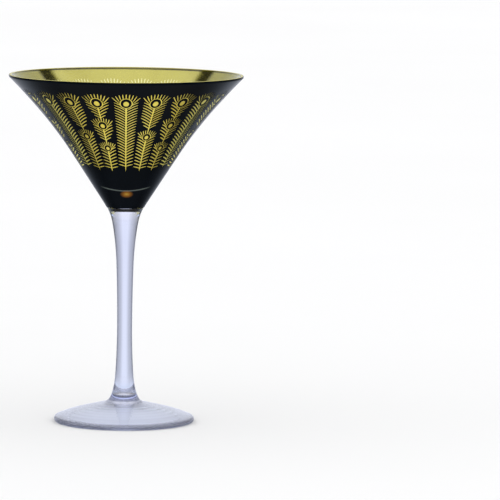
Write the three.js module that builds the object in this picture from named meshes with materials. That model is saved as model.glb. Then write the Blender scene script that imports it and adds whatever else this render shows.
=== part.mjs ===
// Martini glass: a flaring cone bowl on a drawn stem and a domed foot, hot-joined end to end.
// The outside of the bowl carries two thin coatings: gold plating, and black lacquer over it.
// Units are millimetres, +Z is up, and the origin is the centre of the resting plane.
import * as THREE from "three";

// ---- Driving dimensions -------------------------------------------------
const SEGMENTS = 40; // facets round every turned piece

const HEIGHT = 186; // table to the top of the rim
const RIM_R = 62.35; // outer radius of the bare glass at the rim
const WALL = 1.5; // bowl wall, measured square to the cone
const LIP_R = WALL / 2; // fully rounded lip
const COATED_LIP = 45; // how far round the lip the coatings reach, in degrees above level

// Outside of the bowl as stations: height, radius, and slope (radius gained per millimetre of height).
const STEM_JOINT = { z: 108, r: 7.15, slope: 0.2 };
const COATING_EDGE = { z: 115.4, r: 10.0, slope: 0.56 };
const CONE_START = { z: 118.2, r: 11.7, slope: 0.65 };
const CONE_END = { z: 144.1, r: 28.5, slope: 0.65 };
const FLARE_SLOPE = 1.0; // at the lip

const CAVITY_ROUND_R = 16; // round bottom of the cavity, tangent to its cone

// Coatings, drawn thicker than the real films so that they are solids.
const COATING_GAP = 0.02;
const GOLD_THICKNESS = 0.05;
const LACQUER_GAP = 2 * COATING_GAP + GOLD_THICKNESS; // the lacquer lies over the gold
const LACQUER_THICKNESS = 0.08;

// Stem, from the foot's hub up to the bowl.
const HUB_JOINT = { z: 17, r: 6.1, slope: -0.26 };
const STEM_STATIONS = [
  HUB_JOINT,
  { z: 27, r: 4.75, slope: -0.06 },
  { z: 50, r: 4.05, slope: 0 },
  { z: 81, r: 4.5, slope: 0.03 },
  { z: 97, r: 5.5, slope: 0.11 },
  STEM_JOINT,
];

// Foot: a hub that takes the stem, a low domed disc, and a flat ring that rests on the table.
const FOOT_R = 37.5;
const FOOT_EDGE_R = 1.6; // rounding of the foot's edge
const HUB_FOOT = { z: 11.6, r: 8.5, slope: -0.75 };
const DOME_START = { z: 10.6, r: 10 };
const DOME_MIDDLE = { z: 6.1, r: 28 };
const REST_INNER_R = 33.5;
const HOLLOW_HEIGHT = 7.4; // of the hollow under the foot at its centre; it follows the dome above it
const HOLLOW_SHOULDER_R = 11; // the hollow's curve is pulled level out to here ...
const HOLLOW_SKIRT = { z: 5.2, r: 20 }; // ... and towards here as it falls to the resting ring

// ---- Outline helpers (a point is x = radius, y = height) ------------------
const RADIANS = Math.PI / 180;
const point = (r, z) => new THREE.Vector2(r, z);

// A smooth stretch between two stations, leaving and arriving on their slopes.
function stretch(low, high, steps) {
  const third = (high.z - low.z) / 3;
  const curve = new THREE.CubicBezierCurve(
    point(low.r, low.z),
    point(low.r + low.slope * third, low.z + third),
    point(high.r - high.slope * third, high.z - third),
    point(high.r, high.z),
  );
  return curve.getPoints(steps);
}

function arc(centre, radius, startDegrees, endDegrees, steps) {
  return new THREE.EllipseCurve(
    centre.x, centre.y, radius, radius,
    startDegrees * RADIANS, endDegrees * RADIANS, endDegrees < startDegrees,
  ).getPoints(steps);
}

// Joins stretches of outline, dropping a point that repeats the one before it.
function join(...stretches) {
  const points = [];
  for (const next of stretches.flat()) {
    const last = points[points.length - 1];
    if (!last || last.distanceTo(next) > 1e-4) points.push(next);
  }
  return points;
}

// Moves an open outline that runs upwards away from the axis by an even distance, keeping its corners.
function offset(points, distance) {
  const normals = points.slice(1).map((end, i) => {
    const along = end.clone().sub(points[i]).normalize();
    return point(along.y, -along.x);
  });
  return points.map((at, i) => {
    const before = normals[Math.max(i - 1, 0)];
    const after = normals[Math.min(i, normals.length - 1)];
    const corner = before.clone().add(after).normalize();
    return at.clone().addScaledVector(corner, distance / corner.dot(after));
  });
}

// Turns an outline that runs from the bottom of the axis outwards and round to its top.
function turned(name, points, material) {
  const mesh = new THREE.Mesh(new THREE.LatheGeometry(points, SEGMENTS), material);
  mesh.rotation.x = Math.PI / 2; // the lathe's axis becomes +Z
  mesh.name = name;
  return mesh;
}

// ---- Outlines ------------------------------------------------------------
const lipCentre = point(RIM_R - LIP_R, HEIGHT - LIP_R);
const lipAngle = Math.atan(FLARE_SLOPE) / RADIANS;
const lipStart = arc(lipCentre, LIP_R, -lipAngle, 0, 1)[0];
const CONE_TOP = { z: lipStart.y, r: lipStart.x, slope: FLARE_SLOPE };

// The gold-plated part of the bowl's outside, from the start of the cone up and onto the lip.
function platedWall() {
  return join(
    stretch(CONE_START, CONE_END, 1),
    stretch(CONE_END, CONE_TOP, 6),
    arc(lipCentre, LIP_R, -lipAngle, COATED_LIP, 2),
  );
}

// The lacquered part, which reaches further down, over the solid base.
function lacqueredWall() {
  return join(stretch(COATING_EDGE, CONE_START, 2), platedWall());
}

// The cavity, from the centre of its round bottom up to the lip.
function cavityWall() {
  const coneAngle = Math.atan(CONE_START.slope);
  const apexZ = CONE_START.z - CONE_START.r / CONE_START.slope;
  const centre = point(0, apexZ + (CAVITY_ROUND_R + WALL) / Math.sin(coneAngle));
  const round = arc(centre, CAVITY_ROUND_R, -90, -coneAngle / RADIANS, 4);
  const cone = offset(stretch(CONE_END, CONE_TOP, 6), -WALL);
  return join(round, cone);
}

function bowl() {
  return join(
    [point(0, STEM_JOINT.z)],
    stretch(STEM_JOINT, COATING_EDGE, 2),
    lacqueredWall(),
    arc(lipCentre, LIP_R, COATED_LIP, 180 - lipAngle, 2),
    cavityWall().reverse(),
  );
}

// A coating of even thickness over a stretch of wall, its inner face standing `gap` off the glass.
function coating(wall, gap, thickness) {
  const inner = offset(wall, gap);
  const outer = offset(wall, gap + thickness);
  return join(outer, inner.reverse(), [outer[0]]);
}

function stem() {
  const side = STEM_STATIONS.slice(1).map((high, i) => stretch(STEM_STATIONS[i], high, 3));
  return join([point(0, HUB_JOINT.z)], side.flat(), [point(0, STEM_JOINT.z)]);
}

function foot() {
  const edgeCentre = point(FOOT_R - FOOT_EDGE_R, FOOT_EDGE_R);
  const edge = arc(edgeCentre, FOOT_EDGE_R, -90, 60, 5);
  const hollow = new THREE.CubicBezierCurve(
    point(0, HOLLOW_HEIGHT),
    point(HOLLOW_SHOULDER_R, HOLLOW_HEIGHT),
    point(HOLLOW_SKIRT.r, HOLLOW_SKIRT.z),
    point(REST_INNER_R, 0),
  );
  const dome = new THREE.SplineCurve([
    edge[edge.length - 1],
    point(DOME_MIDDLE.r, DOME_MIDDLE.z),
    point(DOME_START.r, DOME_START.z),
  ]);
  return join(
    hollow.getPoints(5),
    edge,
    dome.getPoints(6),
    stretch(HUB_FOOT, HUB_JOINT, 3),
    [point(0, HUB_JOINT.z)],
  );
}

// ---- Materials -----------------------------------------------------------
const clearGlass = () => new THREE.MeshStandardMaterial({
  color: 0xd9dcf0, roughness: 0.03, metalness: 0, transparent: true, opacity: 0.35,
});
const goldPlate = new THREE.MeshStandardMaterial({ color: 0xc8b45a, roughness: 0.25, metalness: 1 });
const blackLacquer = new THREE.MeshStandardMaterial({ color: 0x10161a, roughness: 0.2, metalness: 0 });

// ---- Assembly ------------------------------------------------------------
const glass = new THREE.Group();
glass.add(
  turned("foot", foot(), clearGlass()),
  turned("stem", stem(), clearGlass()),
  turned("bowl", bowl(), clearGlass()),
  turned("gold_plating", coating(platedWall(), COATING_GAP, GOLD_THICKNESS), goldPlate),
  turned("black_lacquer", coating(lacqueredWall(), LACQUER_GAP, LACQUER_THICKNESS), blackLacquer),
);

export default glass;
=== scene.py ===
"""Martini glass: a clear glass body whose bowl is gold-plated outside, under black lacquer etched
through with a ring of eyed feathers. The feathers are true openings in a thin shell of lacquer."""

import math

import bpy
import numpy as np
from mathutils import Matrix, Vector
from mathutils.geometry import delaunay_2d_cdt


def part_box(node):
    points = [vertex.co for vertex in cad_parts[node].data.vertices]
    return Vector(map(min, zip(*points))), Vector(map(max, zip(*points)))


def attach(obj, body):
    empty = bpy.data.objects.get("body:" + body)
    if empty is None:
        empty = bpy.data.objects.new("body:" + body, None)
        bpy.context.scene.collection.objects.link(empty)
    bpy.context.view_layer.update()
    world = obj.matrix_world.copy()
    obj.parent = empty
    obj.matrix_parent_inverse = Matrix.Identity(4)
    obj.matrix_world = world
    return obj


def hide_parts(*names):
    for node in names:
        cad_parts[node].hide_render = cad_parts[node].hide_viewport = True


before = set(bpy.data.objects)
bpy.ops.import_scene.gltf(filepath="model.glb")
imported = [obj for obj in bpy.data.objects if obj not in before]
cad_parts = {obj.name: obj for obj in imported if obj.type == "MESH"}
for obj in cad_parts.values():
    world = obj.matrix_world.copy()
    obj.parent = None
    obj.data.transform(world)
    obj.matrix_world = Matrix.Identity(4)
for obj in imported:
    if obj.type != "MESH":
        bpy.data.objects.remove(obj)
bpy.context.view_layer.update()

MM = 0.001  # the shapes below are worked out in millimetres
BODY = "root"

# ---- Sizes from the frame --------------------------------------------------


def top_of(node):
    """Height of a node's highest point, in millimetres."""
    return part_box(node)[1][2] / MM


def bottom_of(node):
    """Height of a node's lowest point, in millimetres."""
    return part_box(node)[0][2] / MM


def radius_of(node):
    """Largest radius of a turned node, in millimetres."""
    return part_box(node)[1][0] / MM


HEIGHT = top_of("bowl")
RIM_R = radius_of("bowl")
FOOT_R = radius_of("foot")

# ---- Profile of the glass: stations are (radius, height, radius gained per height) ----
WALL = 1.5
LIP_R = WALL / 2
FLARE_SLOPE = 1.0
LIP_ANGLE = math.degrees(math.atan(FLARE_SLOPE))
CAVITY_ROUND_R = 16.0
CONE_SLOPE = 0.65
COATED_LIP = 45.0  # degrees above level that the coatings reach round the lip

HUB_JOINT = (6.1, bottom_of("stem"), -0.26)
STEM_JOINT = (radius_of("stem"), top_of("stem"), 0.2)
STEM_STATIONS = [
    HUB_JOINT,
    (4.75, 27.0, -0.06),
    (4.05, 50.0, 0.0),
    (4.5, 81.0, 0.03),
    (5.5, 97.0, 0.11),
    STEM_JOINT,
]
COATING_EDGE = (10.0, 115.4, 0.56)
CONE_START = (11.7, 118.2, CONE_SLOPE)
CONE_END = (28.5, 144.1, CONE_SLOPE)

FOOT_EDGE_R = 1.6
HUB_FOOT = (8.5, 11.6, -0.75)
DOME_START = (10.0, 10.6)
DOME_MIDDLE = (28.0, 6.1)
REST_INNER_R = 33.5
HOLLOW_HEIGHT = 7.4
HOLLOW_SHOULDER_R = 11.0
HOLLOW_SKIRT = (20.0, 5.2)
SPIN_HEIGHT = 0.02  # of the rings left by spinning
SPIN_PITCH = 3.4  # from ring to ring
SPIN_FADE = 4.0  # over which they fade in and out
SPIN_MARGIN = 3.0  # left plain at the foot's edge
HUB_STEP = (9.3, 11.1)  # where the dome turns up into the hub

# ---- Coatings -----------------------------------------------------------------
GAP = 0.02
GOLD_THICKNESS = 0.05
LACQUER_THICKNESS = 0.08

# ---- Feather artwork ------------------------------------------------------------
COLUMNS = 21
COLUMN_STEPS = 8  # grid cells across a column
COLUMN_PITCH = 360.0 / COLUMNS  # degrees
FIRST_COLUMN = 0.0  # degrees to the right of the glass's front
SEGMENTS = COLUMNS * COLUMN_STEPS  # round every turned surface, so that it meets the artwork's grid
SEGMENT_START = FIRST_COLUMN - COLUMN_PITCH / 2
FEATHER_HALF_WIDTHS = (8.3, 7.5)  # degrees, at the lowest barb and at the top eye
TOP_EYE_Z = 174.0
QUILL_TIP_Z = 136.5
LAST_BARB_Z = 138.0
FEATHERS_BY_COLUMN = [1, 2, 3]  # evenly stacked feathers in a column, from the front rightwards, repeating
CROWN_RAYS = 9
CROWN_HEIGHT = 7.0  # above the eye's centre, where the feather above stops
CROWN_SPREAD = 95.0  # degrees from straight up to the outermost ray's root
# Ovals of an eye: whether each shows gold, its half-width, its half-height and its lift.
EYE_OVALS = [(True, 3.5, 3.9, 0.7), (False, 2.9, 3.3, 0.7), (True, 1.5, 1.9, 0.3)]
BARB_HALF_WIDTHS = [0.22, 0.31, 0.31, 0.22, 0.07]
RAY_HALF_WIDTHS = [0.20, 0.29, 0.21, 0.05]
SHAFT_HALF_WIDTHS = (0.48, 0.3)  # at the eye and at the foot
SHAFT_STEPS = 12
QUILL_POINT = 0.04  # half-width of the lowest quill's tip
BARB_SPACING = 1.85
GRID_SPACING = 1.7  # up the wall
ROUND_STEPS = 24  # points round each oval of an eye

# ---- Painted light on the lacquer, low on the front: a highlight line and a glow ---
HIGHLIGHT_LINE_Z = 125.4  # height at which the painted highlight line crosses the middle of the front
HIGHLIGHT_LINE_RISE = 0.011  # millimetres up per square millimetre sideways
HIGHLIGHT_LINE_WIDTH = 0.42
HIGHLIGHT_LINE_REACH = 13.5  # to each side
# colour of the painted highlight line, a pale reflection painted into the lacquer's colour
HIGHLIGHT_LINE_COLOUR = (0.085, 0.10, 0.09)
# A painted amber glow: light painted into the lacquer's colour, as if shining through from the gold
AMBER_GLOW_CENTRE = (0.6, -14.9, 123.6)  # centre of the painted amber glow
AMBER_GLOW_SIZE = (3.6, 8.0, 2.2)  # from its centre to its rim, along each axis
AMBER_GLOW_STOPS = [(0.0, (0.42, 0.24, 0.03)), (0.5, (0.20, 0.075, 0.006)), (1.0, (0.0, 0.0, 0.0))]

# ---- Colours of glass and gold -------------------------------------------------------
CLEAR_TINT = (0.95, 0.96, 1.0)
UNDERSIDE_TINT = (0.90, 0.92, 0.97)
DEPTH_COLOUR = (0.55, 0.6, 0.95)  # through the depth of the glass
DEPTH_DENSITY = 18.0  # per metre
# Golds as the darker and the brighter colour of their clouds.
PLATING_GOLD = ((0.94, 0.78, 0.13), (1.0, 0.87, 0.19))
GOLD_BEHIND_GLASS = ((0.54, 0.49, 0.095), (0.60, 0.55, 0.12))
# a brighter copy of the gold behind the glass: painted light, as if lit through the etching
GOLD_PAINTED_BACKLIT = ((0.84, 0.80, 0.36), (0.92, 0.88, 0.44))
RIM_GOLD = ((0.66, 0.60, 0.12), (0.74, 0.68, 0.16))
# Material indices of the glass body.
CLEAR, GOLD_BACK, GOLD_PAINTED_LIT, LACQUER_BACK, PRESSED, GOLD_RIM = range(6)


# ---- Profile helpers --------------------------------------------------------------
def bezier(start, start_pull, end_pull, end, steps):
    """A cubic curve between two profile points, pulled towards two more."""
    t = np.linspace(0.0, 1.0, steps + 1)[:, None]
    a, b, c, d = (np.array(p, dtype=float) for p in (start, start_pull, end_pull, end))
    return (1 - t) ** 3 * a + 3 * (1 - t) ** 2 * t * b + 3 * (1 - t) * t**2 * c + t**3 * d


def stretch(low, high, steps):
    """A smooth stretch of profile between two stations, leaving and arriving on their slopes."""
    third = (high[1] - low[1]) / 3
    start_pull = (low[0] + third * low[2], low[1] + third)
    end_pull = (high[0] - third * high[2], high[1] - third)
    return bezier(low[:2], start_pull, end_pull, high[:2], steps)


def arc(centre, radius, start, end, steps):
    """A round stretch of profile, between two angles in degrees."""
    angles = np.radians(np.linspace(start, end, steps + 1))
    return np.array(centre) + radius * np.column_stack([np.cos(angles), np.sin(angles)])


def spline(points, steps):
    """A smooth curve through a few profile points (Catmull-Rom)."""
    points = np.array(points, dtype=float)
    padded = np.vstack([2 * points[0] - points[1], points, 2 * points[-1] - points[-2]])
    stretches = []
    for a, b, c, d in zip(padded, padded[1:], padded[2:], padded[3:]):
        t = np.linspace(0.0, 1.0, steps + 1)[:, None]
        square = (2 * a - 5 * b + 4 * c - d) * t**2
        cube = (3 * b - 3 * c + d - a) * t**3
        stretches.append(0.5 * (2 * b + (c - a) * t + square + cube))
    return joined(*stretches)


def joined(*stretches):
    """Profile stretches end to end, without repeated points."""
    points = np.vstack(stretches)
    keep = np.ones(len(points), dtype=bool)
    keep[1:] = np.linalg.norm(np.diff(points, axis=0), axis=1) > 1e-4
    return points[keep]


def normals_of(profile):
    """Unit normals of a profile, to the right of its direction."""
    along = np.gradient(profile, axis=0)
    normals = np.column_stack([along[:, 1], -along[:, 0]])
    return normals / np.linalg.norm(normals, axis=1)[:, None]


foot_edge_centre = (FOOT_R - FOOT_EDGE_R, FOOT_EDGE_R)

# ---- The bowl's wall -----------------------------------------------------------------
lip_centre = (RIM_R - LIP_R, HEIGHT - LIP_R)
coated_lip = arc(lip_centre, LIP_R, -LIP_ANGLE, COATED_LIP, 12)
flare = stretch(CONE_END, (*coated_lip[0], FLARE_SLOPE), 160)

wall = joined(
    stretch(COATING_EDGE, CONE_START, 40),
    stretch(CONE_START, CONE_END, 80),
    flare,
    coated_lip,
)
wall_normals = normals_of(wall)
wall_length = np.concatenate([[0.0], np.cumsum(np.linalg.norm(np.diff(wall, axis=0), axis=1))])


def up_wall(height):
    """Distance up the coated wall at which it reaches a height."""
    return np.interp(height, wall[:, 1], wall_length)


GOLD_START = up_wall(CONE_START[1])  # the gold stops here, and the lacquer goes on down over the base
LIP_START = up_wall(coated_lip[0, 1])
PLATED_ROWS = np.concatenate([
    np.linspace(GOLD_START, LIP_START, round((LIP_START - GOLD_START) / GRID_SPACING)),
    np.linspace(LIP_START, wall_length[-1], 7)[1:],
])
LACQUERED_ROWS = np.concatenate([np.linspace(0.0, GOLD_START, 5)[:-1], PLATED_ROWS])


def wall_radius(distance):
    """Radius of the coated wall, a distance up it."""
    return np.interp(distance, wall_length, wall[:, 0])


def on_wall(degrees, distance, offset=0.0):
    """Points (in metres) and normals on the coated wall, an offset out from the glass."""
    profile = [np.interp(distance, wall_length, column) for column in wall.T]
    normal = [np.interp(distance, wall_length, column) for column in wall_normals.T]
    turn = np.radians(degrees)
    radius = profile[0] + offset * normal[0]
    height = profile[1] + offset * normal[1]
    places = np.column_stack([radius * np.sin(turn), -radius * np.cos(turn), height]) * MM
    facing = np.column_stack([normal[0] * np.sin(turn), -normal[0] * np.cos(turn), normal[1]])
    return places, facing


# ---- Mesh helpers ---------------------------------------------------------------------
class Shape:
    """Vertices, faces and each face's material index, gathered from several surfaces."""

    def __init__(self):
        self.places = np.zeros((0, 3))
        self.normals = np.zeros((0, 3))  # zero where the mesh's own smooth normal is wanted
        self.faces = []
        self.indices = []
        self.flat = set()  # faces with sharp edges all round

    def add(self, places, faces, index=0, normals=None):
        """Adds a surface; index is one material index, or one for each face."""
        start = len(self.places)
        self.places = np.vstack([self.places, places])
        given = np.zeros((len(places), 3)) if normals is None else normals
        self.normals = np.vstack([self.normals, given])
        self.faces += [tuple(int(v) + start for v in face) for face in faces]
        self.indices += [index] * len(faces) if isinstance(index, int) else list(index)

    def welded(self):
        """Joins vertices that lie in one place."""
        keys = np.round(self.places / (MM * 1e-3)).astype(np.int64)
        _, first, where = np.unique(keys, axis=0, return_index=True, return_inverse=True)
        where = where.reshape(-1)
        self.places = self.places[first]
        self.normals = self.normals[first]
        self.faces = [tuple(int(where[v]) for v in face) for face in self.faces]
        return self

    def built(self, name, materials, replaces, slot):
        """Makes the object, riding on the one body and standing for CAD nodes."""
        mesh = bpy.data.meshes.new(name)
        mesh.from_pydata(self.places.tolist(), [], self.faces)
        for material in materials:
            mesh.materials.append(material)
        mesh.polygons.foreach_set("material_index", self.indices)
        mesh.polygons.foreach_set("use_smooth", [i not in self.flat for i in range(len(self.faces))])
        mesh.update()
        corners = [
            (0.0, 0.0, 0.0) if i in self.flat else self.normals[v]
            for i, face in enumerate(self.faces)
            for v in face
        ]
        mesh.normals_split_custom_set(corners)
        piece = bpy.data.objects.new(name, mesh)
        bpy.context.scene.collection.objects.link(piece)
        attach(piece, BODY)
        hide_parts(*replaces)
        return piece


def turned(shape, profile, index, ripple=None):
    """Adds a surface of revolution; a profile point on the axis becomes one vertex. A ripple lifts the
    surface by its own function of radius, height and angle."""
    degrees = SEGMENT_START + 360.0 / SEGMENTS * np.arange(SEGMENTS)
    turn = np.radians(degrees)
    normals = normals_of(profile)
    places = []
    rings = []
    for (radius, height), normal in zip(profile, normals):
        start = sum(len(ring) for ring in rings)
        if radius < 1e-6:
            places.append([[0.0, 0.0, height]])
            rings.append([start])
            continue
        lift = ripple(radius, height, turn) if ripple else 0.0
        r = radius + lift * normal[0]
        z = height + lift * normal[1] + np.zeros(SEGMENTS)
        places.append(np.column_stack([r * np.sin(turn), -r * np.cos(turn), z]))
        rings.append(list(range(start, start + SEGMENTS)))
    faces = []
    for low, high in zip(rings, rings[1:]):
        for i in range(SEGMENTS):
            j = (i + 1) % SEGMENTS
            corners = [low[i % len(low)], low[j % len(low)], high[j % len(high)], high[i % len(high)]]
            face = tuple(dict.fromkeys(corners))
            faces.append(face)
    shape.add(np.vstack(places) * MM, faces, index)


# ---- Feather artwork, drawn in millimetres across and up the unrolled wall ----------------
def oval(width, height, lift):
    """An oval outline, centred a little above the eye's centre."""
    angles = np.linspace(0.0, 2 * math.pi, ROUND_STEPS, endpoint=False)
    return np.column_stack([width * np.cos(angles), lift + height * np.sin(angles)])


def ribbon(spine, half_widths):
    """A closed outline of a line that swells and tapers along its spine."""
    spine = np.array(spine, dtype=float)
    along = np.gradient(spine, axis=0)
    side = np.column_stack([-along[:, 1], along[:, 0]]) / np.linalg.norm(along, axis=1)[:, None]
    reach = side * np.array(half_widths)[:, None]
    return np.vstack([spine - reach, (spine + reach)[::-1]])


def barb(side, root, reach, rise):
    """One barb, rising outwards from the shaft and flattening towards its tip."""
    t = np.array([0.02, 0.3, 0.65, 0.94, 1.0])
    spine = np.column_stack([side * reach * t, root + reach * rise * (1.15 * t - 0.3 * t**2)])
    return ribbon(spine, BARB_HALF_WIDTHS)


def crown(size):
    """The rays that fan out round an eye."""
    rays = []
    for u in np.linspace(-1.0, 1.0, CROWN_RAYS):
        turn = math.radians(CROWN_SPREAD * u)
        root = np.array([3.8 * math.sin(turn), 1.1 + 3.3 * math.cos(turn)])
        tip = np.array([7.6 * u, 7.8 - 2.4 * u * u])
        spine = [
            root + (tip - root) * t + np.array([0.0, -0.5 * u * u * t * (1 - t)])
            for t in (0.0, 0.5, 0.92, 1.0)
        ]
        rays.append(ribbon(np.array(spine) * size, np.array(RAY_HALF_WIDTHS) * (0.4 + 0.6 * size)))
    return rays


def feather(eye, end, size, last):
    """Outlines of one feather in painting order, each with whether it shows gold.
    The eye and the feather's end are distances up the wall."""
    shapes = []
    first_root = eye - 3.0 * size
    count = int((first_root - end) / BARB_SPACING)
    for i in range(count + 1):
        root = first_root - i * BARB_SPACING
        left_below = (root - end) / BARB_SPACING
        # The lowest barbs shorten where another feather follows, and lie flatter at the column's foot.
        taper = 1.0 if last else min(1.0, 0.45 + 0.2 * left_below)
        rise = min(0.8, 0.35 + 0.09 * left_below) if last else 0.8
        half_width = np.interp(root, [up_wall(LAST_BARB_Z), up_wall(TOP_EYE_Z)], FEATHER_HALF_WIDTHS)
        reach = math.radians(half_width) * wall_radius(root) * taper
        for side in (-1.0, 1.0):
            shapes.append((True, barb(side, root, reach, rise)))
    quill_end = up_wall(QUILL_TIP_Z) if last else end - 1.5
    heights = np.linspace(eye - 2.0 * size, quill_end, SHAFT_STEPS)
    spine = np.column_stack([np.zeros(SHAFT_STEPS), heights])
    half_widths = np.linspace(*SHAFT_HALF_WIDTHS, SHAFT_STEPS - 1).tolist()
    half_widths.append(QUILL_POINT if last else SHAFT_HALF_WIDTHS[1])
    shapes.append((True, ribbon(spine, half_widths)))
    for ray in crown(size):
        shapes.append((True, ray + [0.0, eye]))
    for is_gold, width, height, lift in EYE_OVALS:
        shapes.append((is_gold, oval(width * size, height * size, lift * size) + [0.0, eye]))
    return shapes


def column_artwork(feathers):
    """Outlines of a whole column of evenly stacked feathers, each ending at the next one's crown."""
    heights = np.linspace(TOP_EYE_Z, QUILL_TIP_Z, feathers + 1)[:-1]
    eyes = [up_wall(z) for z in heights]
    sizes = [wall_radius(eye) / wall_radius(eyes[0]) for eye in eyes]
    shapes = []
    for i, (eye, size) in enumerate(zip(eyes, sizes)):
        last = i == len(eyes) - 1
        end = up_wall(LAST_BARB_Z) if last else eyes[i + 1] + CROWN_HEIGHT * sizes[i + 1]
        shapes += feather(eye, end, size, last)
    return shapes


# ---- Unrolled columns, triangulated round their artwork --------------------------------------
SCALE = math.radians(1.0) * 45.0  # millimetres per degree in the flat working plane


def column_triangles(feathers):
    """Angles, distances up the wall, triangles, and which triangles are etched, for one column."""
    across = np.linspace(-COLUMN_PITCH / 2, COLUMN_PITCH / 2, COLUMN_STEPS + 1)
    points = [(a * SCALE, r) for r in LACQUERED_ROWS for a in across]
    faces = []
    gold = []
    for is_gold, outline in column_artwork(feathers):
        start = len(points)
        degrees = np.degrees(outline[:, 0] / wall_radius(outline[:, 1]))
        points += list(zip(degrees * SCALE, outline[:, 1]))
        faces.append(list(range(start, len(points))))
        gold.append(is_gold)
    result = delaunay_2d_cdt([Vector(p) for p in points], [], faces, 0, 1e-5, True)
    places, _, triangles, given, _, sources = result
    flat = np.array([points[ids[0]] if ids else tuple(place) for place, ids in zip(places, given)])
    etched = [bool(source) and gold[max(source)] for source in sources]
    return flat[:, 0] / SCALE, flat[:, 1], np.array(triangles), np.array(etched)


def whole_wall():
    """The same for the whole coated wall, with its columns joined up."""
    degrees = []
    distances = []
    triangles = []
    etched = []
    kinds = [column_triangles(feathers) for feathers in FEATHERS_BY_COLUMN]
    count = 0
    for k in range(COLUMNS):
        column_degrees, column_distances, column_faces, column_etched = kinds[k % len(kinds)]
        degrees.append((column_degrees + FIRST_COLUMN + COLUMN_PITCH * k) % 360.0)
        distances.append(column_distances)
        triangles.append(column_faces + count)
        etched.append(column_etched)
        count += len(column_degrees)
    flat = np.column_stack([np.concatenate(degrees), np.concatenate(distances)])
    _, first, where = np.unique(np.round(flat, 5), axis=0, return_index=True, return_inverse=True)
    flat = flat[first]
    return flat[:, 0], flat[:, 1], where.reshape(-1)[np.concatenate(triangles)], np.concatenate(etched)


def plain_wall(rows):
    """Rows of the coated wall as a plain grid: angles, distances and four-sided faces."""
    degrees = (SEGMENT_START + 360.0 / SEGMENTS * np.arange(SEGMENTS)) % 360.0
    faces = []
    for row in range(len(rows) - 1):
        for i in range(SEGMENTS):
            j = (i + 1) % SEGMENTS
            low = row * SEGMENTS
            faces.append((low + i, low + j, low + SEGMENTS + j, low + SEGMENTS + i))
    return np.tile(degrees, len(rows)), np.repeat(rows, SEGMENTS), np.array(faces)


# ---- Materials ---------------------------------------------------------------------------------
def shader_material(name, **sockets):
    """A material with a Principled shader, its plain values set on the shader's own sockets."""
    material = bpy.data.materials.new(name)
    material.use_nodes = True
    shader = material.node_tree.nodes["Principled BSDF"]
    for socket, value in sockets.items():
        shader.inputs[socket.replace("_", " ")].default_value = value
    return material, material.node_tree, shader


def link(tree, source, output, target, socket):
    tree.links.new(source.outputs[output], target.inputs[socket])


def noise(tree, scale, detail=3.0, stretch=(1.0, 1.0, 1.0)):
    """Noise fixed to the object, with features of about 1 / scale metres; stretch scales each axis."""
    place = tree.nodes.new("ShaderNodeTexCoord")
    mapping = tree.nodes.new("ShaderNodeMapping")
    mapping.inputs["Scale"].default_value = stretch
    texture = tree.nodes.new("ShaderNodeTexNoise")
    texture.inputs["Scale"].default_value = scale
    texture.inputs["Detail"].default_value = detail
    link(tree, place, "Object", mapping, "Vector")
    link(tree, mapping, "Vector", texture, "Vector")
    return texture


def ramp(tree, source, stops, output=0):
    """A colour ramp over one of a node's outputs; stops are (position, colour)."""
    node = tree.nodes.new("ShaderNodeValToRGB")
    elements = node.color_ramp.elements
    while len(elements) < len(stops):
        elements.new(0.5)
    for element, (position, colour) in zip(elements, stops):
        element.position = position
        element.color = (*colour, 1.0)
    link(tree, source, output, node, "Fac")
    return node


def grey(value):
    return (value, value, value)


def bump(tree, shader, texture, distance, strength=1.0):
    node = tree.nodes.new("ShaderNodeBump")
    node.inputs["Distance"].default_value = distance
    node.inputs["Strength"].default_value = strength
    link(tree, texture, 0, node, "Height")
    link(tree, node, "Normal", shader, "Normal")


def clear_glass(name, tint, roughness):
    """Glass with a faint lavender tint through its depth and soft drawn waviness; its face is
    polished at roughness 0, and satiny where it is pressed rough."""
    material, tree, shader = shader_material(
        name, Base_Color=(*tint, 1.0), Roughness=roughness, IOR=1.5, Transmission_Weight=1.0
    )
    bump(tree, shader, noise(tree, 90.0, 1.0, (1.0, 1.0, 0.25)), 0.05 * MM)
    depth = tree.nodes.new("ShaderNodeVolumeAbsorption")
    depth.inputs["Color"].default_value = (*DEPTH_COLOUR, 1.0)
    depth.inputs["Density"].default_value = DEPTH_DENSITY
    link(tree, depth, "Volume", tree.nodes["Material Output"], "Volume")
    return material


def gold(name, dark, bright, roughness):
    """A gold film: its colour clouds a little, and a fine grain softens its shine."""
    material, tree, shader = shader_material(name, Metallic=1.0)
    clouds = noise(tree, 60.0)
    link(tree, ramp(tree, clouds, [(0.35, dark), (0.65, bright)]), "Color", shader, "Base Color")
    grain = noise(tree, 900.0, 2.0)
    spread = ramp(tree, grain, [(0.3, grey(roughness)), (0.7, grey(roughness + 0.08))])
    link(tree, spread, "Color", shader, "Roughness")
    bump(tree, shader, grain, 0.004 * MM)
    return material


def maths(tree, operation, *operands):
    """A Math node whose operands are sockets or plain numbers."""
    node = tree.nodes.new("ShaderNodeMath")
    node.operation = operation
    for operand, socket in zip(operands, node.inputs):
        if isinstance(operand, float):
            socket.default_value = operand
        else:
            tree.links.new(operand, socket)
    return node


def vector_maths(tree, operation, *operands):
    """A Vector Math node whose operands are sockets or plain vectors."""
    node = tree.nodes.new("ShaderNodeVectorMath")
    node.operation = operation
    for operand, socket in zip(operands, node.inputs):
        if isinstance(operand, tuple):
            socket.default_value = operand
        else:
            tree.links.new(operand, socket)
    return node


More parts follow.
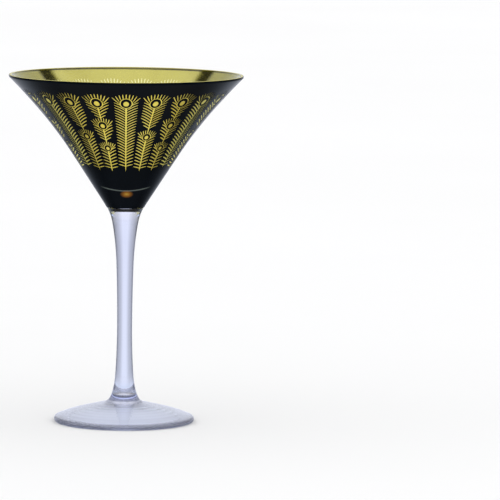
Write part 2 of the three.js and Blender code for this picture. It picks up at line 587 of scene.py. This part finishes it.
def painted_highlight_line(tree):
    """White along a fine painted highlight line across the front, black elsewhere."""
    place = tree.nodes.new("ShaderNodeTexCoord")
    split = tree.nodes.new("ShaderNodeSeparateXYZ")
    link(tree, place, "Object", split, "Vector")
    across = maths(tree, "MULTIPLY", split.outputs["X"], split.outputs["X"])
    rise = maths(tree, "MULTIPLY", across.outputs["Value"], HIGHLIGHT_LINE_RISE / MM)
    drop = maths(tree, "SUBTRACT", split.outputs["Z"], rise.outputs["Value"])
    off = maths(tree, "SUBTRACT", drop.outputs["Value"], HIGHLIGHT_LINE_Z * MM)
    distance = maths(tree, "ABSOLUTE", off.outputs["Value"])
    nearness = maths(tree, "DIVIDE", distance.outputs["Value"], HIGHLIGHT_LINE_WIDTH * MM)
    line = ramp(tree, nearness, [(0.5, grey(1.0)), (1.0, grey(0.0))])
    side = maths(tree, "DIVIDE", across.outputs["Value"], (HIGHLIGHT_LINE_REACH * MM) ** 2)
    fade = ramp(tree, side, [(0.5, grey(1.0)), (1.0, grey(0.0))])
    front = maths(tree, "LESS_THAN", split.outputs["Y"], 0.0)
    faded = maths(tree, "MULTIPLY", line.outputs["Color"], fade.outputs["Color"])
    return maths(tree, "MULTIPLY", faded.outputs["Value"], front.outputs["Value"])


def painted_glow_spot(tree):
    """Distance from the middle of the painted amber glow, 1 at its rim."""
    place = tree.nodes.new("ShaderNodeTexCoord")
    offset = vector_maths(tree, "SUBTRACT", place.outputs["Object"], tuple(v * MM for v in AMBER_GLOW_CENTRE))
    per_metre = tuple(1 / (v * MM) for v in AMBER_GLOW_SIZE)
    scaled = vector_maths(tree, "MULTIPLY", offset.outputs["Vector"], per_metre)
    return vector_maths(tree, "LENGTH", scaled.outputs["Vector"])


def black_lacquer(name):
    """Sprayed black lacquer: blue-black, glossy, with a faint orange peel. A fine pale painted highlight
    line shows on its front, and a painted amber glow under it."""
    material, tree, shader = shader_material(name, Specular_IOR_Level=0.04)
    clouds = noise(tree, 45.0)
    colour = ramp(tree, clouds, [(0.35, (0.0008, 0.0020, 0.0034)), (0.65, (0.0014, 0.0030, 0.0056))])
    # painted glow: amber light painted into the lacquer's colour
    glow = ramp(tree, painted_glow_spot(tree), AMBER_GLOW_STOPS, "Value")
    # painted highlight: a pale line painted into the lacquer's colour
    edge = vector_maths(tree, "SCALE", HIGHLIGHT_LINE_COLOUR)
    link(tree, painted_highlight_line(tree), "Value", edge, "Scale")
    painted_light_marks = vector_maths(tree, "ADD", glow.outputs["Color"], edge.outputs["Vector"])
    total = vector_maths(tree, "ADD", painted_light_marks.outputs["Vector"], colour.outputs["Color"])
    link(tree, total, "Vector", shader, "Base Color")
    haze = ramp(tree, noise(tree, 240.0), [(0.3, grey(0.12)), (0.7, grey(0.18))])
    link(tree, haze, "Color", shader, "Roughness")
    bump(tree, shader, noise(tree, 700.0, 1.0), 0.004 * MM)
    return material


# ---- Pieces ----------------------------------------------------------------------------------------
def underside_profile():
    """The foot from the centre of its underside, out over the resting ring and round to its widest."""
    middle = (0.0, HOLLOW_HEIGHT)
    shoulder = (HOLLOW_SHOULDER_R, HOLLOW_HEIGHT)
    hollow = bezier(middle, shoulder, HOLLOW_SKIRT, (REST_INNER_R, 0.0), 20)
    return joined(hollow, arc(foot_edge_centre, FOOT_EDGE_R, -90.0, 0.0, 9))


def dome_profile():
    """The top of the foot, from its widest in to the hub."""
    edge = arc(foot_edge_centre, FOOT_EDGE_R, 0.0, 60.0, 6)
    return joined(edge, spline([edge[-1], DOME_MIDDLE, DOME_START], 30))


def stem_profile():
    """The hub, the stem and the solid base of the bowl, up to the coatings' lower edge."""
    step = spline([DOME_START, HUB_STEP, HUB_FOOT[:2]], 3)
    sides = [stretch(low, high, 14) for low, high in zip(STEM_STATIONS, STEM_STATIONS[1:])]
    return joined(step, stretch(HUB_FOOT, HUB_JOINT, 12), *sides, stretch(STEM_JOINT, COATING_EDGE, 12))


def spinning_marks(radius, height, turn):
    """Faint rings left on the dome where the foot was spun out, fading at its hub and edge."""
    near_hub = np.clip((radius - DOME_START[0]) / SPIN_FADE, 0, 1)
    near_edge = np.clip((FOOT_R - SPIN_MARGIN - radius) / SPIN_FADE, 0, 1)
    waver = 0.9 * np.sin(turn + 0.6) + 0.5 * np.sin(2 * turn)
    return SPIN_HEIGHT * near_hub * near_edge * np.sin(2 * math.pi * radius / SPIN_PITCH + waver)


def gilt_lip_profile():
    """The lip from the coatings' top edge over its crest to the inside, a fine gold rim."""
    return arc(lip_centre, LIP_R, COATED_LIP, 180.0 - LIP_ANGLE, 9)


def inside_profile():
    """The glass from inside the lip down to the cavity's centre."""
    inside = (flare - WALL * normals_of(flare))[::-4]
    cone_angle = math.atan(CONE_SLOPE)
    apex = CONE_START[1] - CONE_START[0] / CONE_SLOPE
    centre = (0.0, apex + (CAVITY_ROUND_R + WALL) / math.sin(cone_angle))
    round_bottom = arc(centre, CAVITY_ROUND_R, -math.degrees(cone_angle), -90.0, 14)
    round_bottom[-1, 0] = 0.0
    return joined(inside, round_bottom)


def make_glass():
    """The bowl, stem and foot as the one body of glass that they are melted into.
    The coated faces carry what shows through the glass: gold, painted brighter where it is etched as
    painted light coming through, or lacquer."""
    shape = Shape()
    turned(shape, underside_profile(), PRESSED)
    turned(shape, dome_profile(), CLEAR, spinning_marks)
    turned(shape, stem_profile(), CLEAR)
    turned(shape, gilt_lip_profile(), GOLD_RIM)
    turned(shape, inside_profile(), CLEAR)
    places, facing = on_wall(wall_degrees, wall_distances)
    distances = wall_distances[wall_triangles].mean(axis=1)
    kinds = np.select(
        [distances < GOLD_START, distances > LIP_START, wall_etched],
        [LACQUER_BACK, GOLD_RIM, GOLD_PAINTED_LIT],
        GOLD_BACK,
    )
    shape.add(places, wall_triangles, kinds, facing)
    materials = [
        clear_glass("clear_glass", CLEAR_TINT, 0.0),
        gold("gold_behind_glass", *GOLD_BEHIND_GLASS, 0.03),
        # painted light: the gold seen through the etching is a brighter copy of the same gold
        gold("gold_painted_backlit", *GOLD_PAINTED_BACKLIT, 0.12),
        black_lacquer("lacquer_behind_glass"),
        clear_glass("pressed_underside", UNDERSIDE_TINT, 0.4),
        gold("gold_rim", *RIM_GOLD, 0.28),
    ]
    return shape.welded().built("clear_glass_body", materials, ("bowl", "stem", "foot"), "clear_glass")


def shell(shape, degrees, distances, faces, inner, outer):
    """Adds a closed shell of even thickness over some faces of the coated wall."""
    outside, facing = on_wall(degrees, distances, outer)
    inside, _ = on_wall(degrees, distances, inner)
    count = len(degrees)
    edges = {}
    for face in faces:
        for a, b in zip(face, np.roll(face, -1)):
            edges[(int(a), int(b))] = True
    rims = [(a, b) for a, b in edges if (b, a) not in edges]
    sides = [(b, a, a + count, b + count) for a, b in rims]
    shape.add(
        np.vstack([outside, inside]),
        [tuple(face) for face in faces] + [tuple(face[::-1] + count) for face in faces] + sides,
        normals=np.vstack([facing, -facing]),
    )
    shape.flat = set(range(len(shape.faces) - len(sides), len(shape.faces)))


def make_gold_film():
    shape = Shape()
    shell(shape, *plain_wall(PLATED_ROWS), GAP, GAP + GOLD_THICKNESS)
    film = gold("gold_plating", *PLATING_GOLD, 0.28)
    return shape.built("gold_plating_film", [film], ("gold_plating",), "gold_plate")


def make_lacquer():
    shape = Shape()
    inner = 2 * GAP + GOLD_THICKNESS
    coated = wall_triangles[~wall_etched]
    shell(shape, wall_degrees, wall_distances, coated, inner, inner + LACQUER_THICKNESS)
    lacquer = black_lacquer("black_lacquer")
    return shape.built("feathered_lacquer", [lacquer], ("black_lacquer",), "black_lacquer")


wall_degrees, wall_distances, wall_triangles, wall_etched = whole_wall()
make_glass()
make_gold_film()
make_lacquer()


# ---- Stage ---------------------------------------------------------------------------------------------
FLOOR_R = 9.0
FLOOR_SIDES = 96
STUDIO_STRENGTH = 1.1
FILL_STRENGTH = 1.40
# Light that glass and gold mirror, by elevation in degrees: pale grey straight down, a dark band
# round it, bluish from there up to level, then a pale backdrop and ceiling.
STUDIO_GLOW = [
    (-90, (0.80, 0.80, 0.80)),
    (-66, (0.75, 0.75, 0.75)),
    (-52, (0.30, 0.27, 0.23)),
    (-40, (0.37, 0.40, 0.44)),
    (-28, (0.66, 0.74, 0.88)),
    (-16, (0.76, 0.80, 0.91)),
    (0, (0.74, 0.77, 0.89)),
    (12, (0.86, 0.88, 0.96)),
    (90, (1.0, 0.99, 0.97)),
]
# Dark flags stand either side of the glass: how dark by degrees off its back-to-front line ...
SIDE_FLAGS = [(8, 0.0), (20, 0.3), (35, 0.5), (50, 0.65), (62, 0.95), (70, 0.95), (80, 0.1)]
# ... and how strongly by elevation.
SIDE_REACH = [(-25, 0.0), (-12, 0.9), (0, 0.9), (8, 1.0), (30, 0.85), (38, 0.6), (54, 0.0)]
# Above the flags a narrow black bar stands on each side, over these elevations and from this far out.
BAR_ELEVATIONS = [(38.5, 0.0), (41, 0.95), (47.5, 0.95), (50.5, 0.0)]
BAR_START = [(24, 0.0), (28, 1.0)]

CAMERA_DISTANCE = 2.45  # metres
CAMERA_HEIGHT = 0.355  # metres
CAMERA_LENS = 332.0  # millimetres
CAMERA_SENSOR = 36.0  # millimetres
CAMERA_PITCH = -6.11  # degrees, looking down
CAMERA_YAW = -1.56  # degrees, looking right, so that the glass stands at the left of the frame
CAMERA_ROLL = 0.57  # degrees


def by_elevation(stops):
    """Ramp stops for a factor that runs from 0 straight down to 1 straight up."""
    return [
        ((1 + math.sin(math.radians(angle))) / 2, grey(value) if isinstance(value, float) else value)
        for angle, value in stops
    ]


def by_side(stops):
    """Ramp stops for the sine of the angle off the back-to-front line."""
    return [(math.sin(math.radians(angle)), grey(value)) for angle, value in stops]


def make_floor():
    """A wide pale floor, which fills the view behind the glass."""
    mesh = bpy.data.meshes.new("floor")
    turn = np.linspace(0.0, 2 * math.pi, FLOOR_SIDES + 1)[:-1]
    ring = np.column_stack([FLOOR_R * np.cos(turn), FLOOR_R * np.sin(turn), np.zeros(FLOOR_SIDES)])
    mesh.from_pydata(ring.tolist(), [], [tuple(range(FLOOR_SIDES))])
    material, tree, shader = shader_material("studio_floor", Roughness=0.9, Specular_IOR_Level=0.1)
    tone = ramp(tree, noise(tree, 1.5), [(0.3, grey(0.93)), (0.7, grey(0.95))])
    link(tree, tone, "Color", shader, "Base Color")
    mesh.materials.append(material)
    floor = bpy.data.objects.new("floor", mesh)
    bpy.context.scene.collection.objects.link(floor)
    floor.visible_glossy = False  # the studio's own light, not the floor, fills reflections
    floor.visible_transmission = False


def make_studio():
    """Plain soft light from all round, with a bright ceiling, a bright backdrop and darker sides."""
    world = bpy.data.worlds.new("studio")
    bpy.context.scene.world = world
    world.use_nodes = True
    tree = world.node_tree
    background = tree.nodes["Background"]
    place = tree.nodes.new("ShaderNodeTexCoord")
    split = tree.nodes.new("ShaderNodeSeparateXYZ")
    link(tree, place, "Generated", split, "Vector")
    level = tree.nodes.new("ShaderNodeMapRange")
    level.inputs["From Min"].default_value = -1.0
    link(tree, split, "Z", level, "Value")
    across = maths(tree, "ABSOLUTE", split.outputs["X"])
    link(tree, ramp(tree, level, by_elevation(STUDIO_GLOW)), "Color", background, "Color")
    light = None
    for heights, sides in ((SIDE_REACH, SIDE_FLAGS), (BAR_ELEVATIONS, BAR_START)):
        reach = ramp(tree, level, by_elevation(heights))
        flags = ramp(tree, across, by_side(sides))
        shade = maths(tree, "MULTIPLY", flags.outputs["Color"], reach.outputs["Color"])
        passed = maths(tree, "SUBTRACT", 1.0, shade.outputs["Value"])
        before = light.outputs["Value"] if light else STUDIO_STRENGTH
        light = maths(tree, "MULTIPLY", before, passed.outputs["Value"])
    link(tree, light, "Value", background, "Strength")
    # The floor is lit, and the view past it filled, by plain white.
    plain = tree.nodes.new("ShaderNodeBackground")
    plain.inputs["Strength"].default_value = FILL_STRENGTH
    ray = tree.nodes.new("ShaderNodeLightPath")
    direct = maths(tree, "MAXIMUM", ray.outputs["Is Camera Ray"], ray.outputs["Is Diffuse Ray"])
    choice = tree.nodes.new("ShaderNodeMixShader")
    link(tree, direct, "Value", choice, "Fac")
    tree.links.new(background.outputs["Background"], choice.inputs[1])
    tree.links.new(plain.outputs["Background"], choice.inputs[2])
    link(tree, choice, "Shader", tree.nodes["World Output"], "Surface")


def make_camera():
    """A long lens from the front, a little above the rim."""
    data = bpy.data.cameras.new("camera")
    data.lens = CAMERA_LENS
    data.sensor_width = CAMERA_SENSOR
    data.clip_end = 50.0
    camera = bpy.data.objects.new("camera", data)
    bpy.context.scene.collection.objects.link(camera)
    bpy.context.scene.camera = camera
    camera.location = (0.0, -CAMERA_DISTANCE, CAMERA_HEIGHT)
    camera.rotation_mode = "XYZ"
    pitch = Matrix.Rotation(math.radians(90.0 + CAMERA_PITCH), 3, "X")
    yaw = Matrix.Rotation(math.radians(CAMERA_YAW), 3, "Z")
    roll = Matrix.Rotation(math.radians(CAMERA_ROLL), 3, "Z")
    camera.rotation_euler = (yaw @ pitch @ roll).to_euler()


make_floor()
make_studio()
make_camera()
bpy.context.scene.view_settings.view_transform = "Standard"
